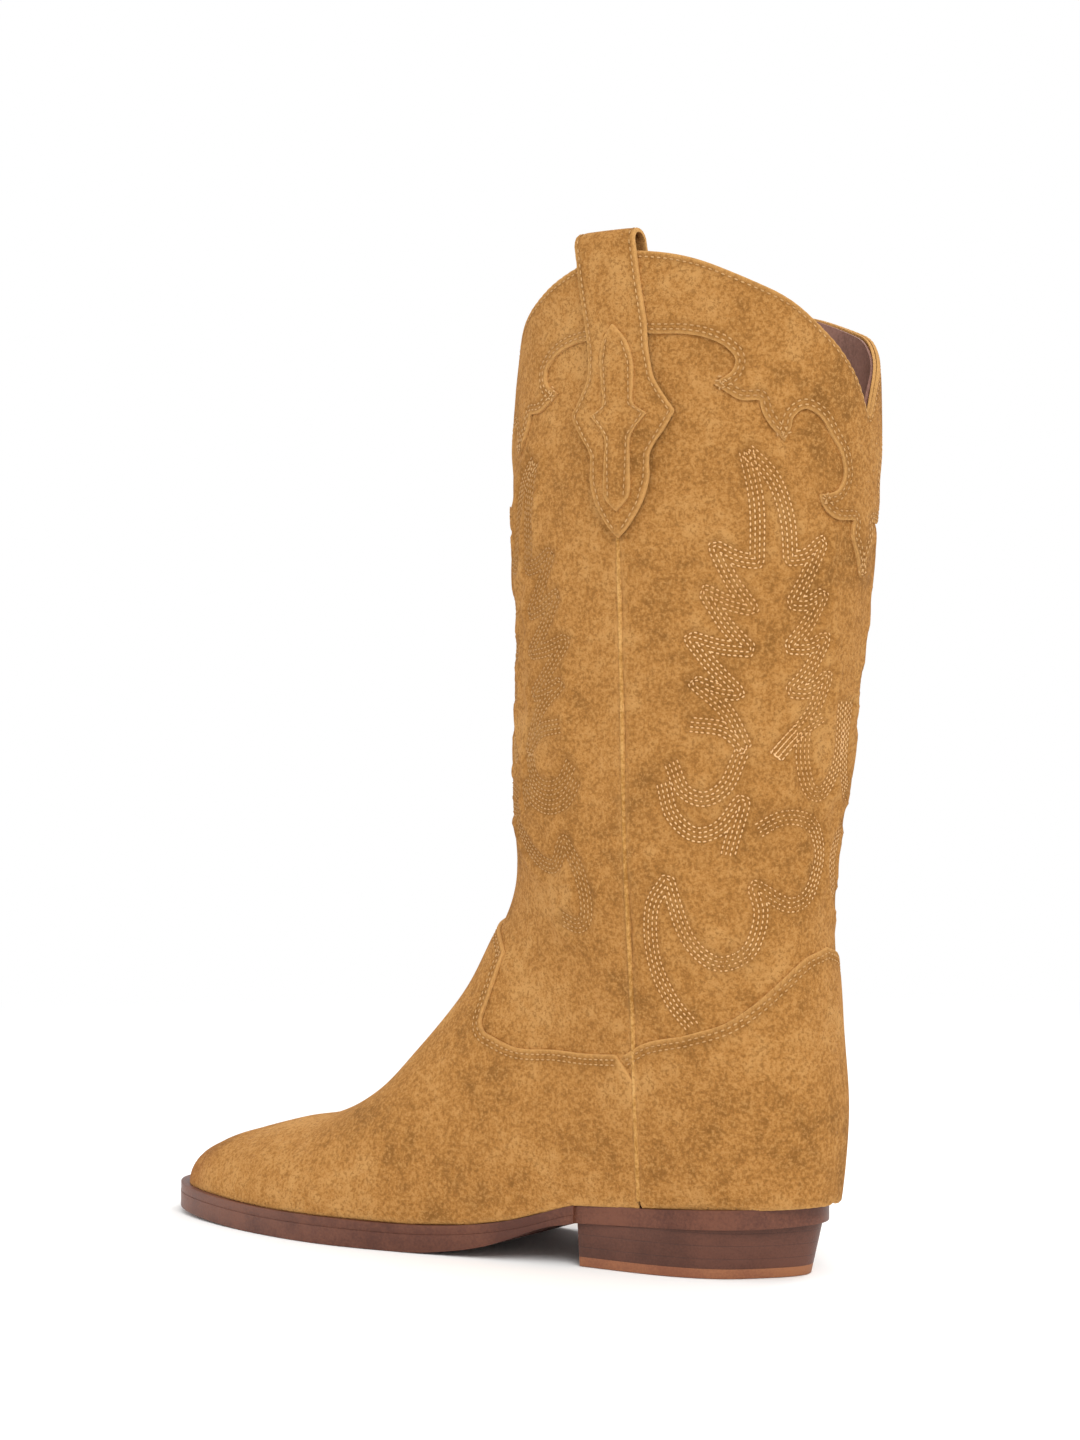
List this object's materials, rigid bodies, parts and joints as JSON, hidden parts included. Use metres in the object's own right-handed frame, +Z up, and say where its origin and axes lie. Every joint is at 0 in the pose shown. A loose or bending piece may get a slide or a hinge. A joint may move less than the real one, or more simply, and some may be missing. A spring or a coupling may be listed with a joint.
{
  "type": "cowboy boot",
  "caption": "Pull-on western boot with stitched suede shaft, scalloped collar, pull straps, welted sole and stacked heel; the shaft leans at the ankle.",
  "frame": {"origin": "middle of the heel's tread, on the ground", "axes": "-X towards the toe, +X towards the heel, -Y towards the lateral side of this left boot, +Z up the shaft"},
  "size_m": [0.3065, 0.102, 0.3644],
  "materials": {
    "suede": "tan suede with brushed nap",
    "suede_edge": "raw cut suede edge",
    "lining": "smooth brown lining leather",
    "stiffener": "non-woven stiffener",
    "sole": "stained sole leather, waxed edge",
    "heel": "stacked leather, waxed",
    "lift": "moulded rubber top lift",
    "cork": "cork filler",
    "steel": "spring steel",
    "brass": "brass pins",
    "insole": "vegetable tanned insole leather"
  },
  "bodies": {
    "foot": {"vamp": "suede", "counter": "suede", "toe_puff": "stiffener", "vamp_interlining": "stiffener", "heel_stiffener": "stiffener", "ankle_front_panel": "suede", "ankle_back_panel": "suede", "vamp_lining": "lining", "quarter_lining": "lining", "foot_piping_lateral": "suede_edge", "foot_piping_medial": "suede_edge", "welt": "sole", "cork_filler": "cork", "shank": "steel", "heel_rand": "sole", "outsole": "sole", "heel_block": "heel", "top_lift": "lift", "heel_nails": "steel", "top_lift_nails": "brass", "insole": "insole", "sock_lining": "lining"},
    "shaft": {"front_panel": "suede", "back_panel": "suede", "shaft_lining_front": "lining", "shaft_lining_back": "lining", "front_collar": "suede", "back_collar": "suede", "shaft_piping_lateral": "suede_edge", "shaft_piping_medial": "suede_edge", "pull_strap_lateral": "suede", "pull_strap_medial": "suede", "pull_strap_overlay_lateral": "suede", "pull_strap_overlay_medial": "suede"}
  },
  "joints": [
    {"name": "shaft_lean", "type": "hinge", "parent": "foot", "child": "shaft", "pos_m": [-0.02, 0, 0.17], "axis": [0, 1, 0], "range_deg": [-12, 8], "stiffness_Nm_per_rad": 4}
  ]
}
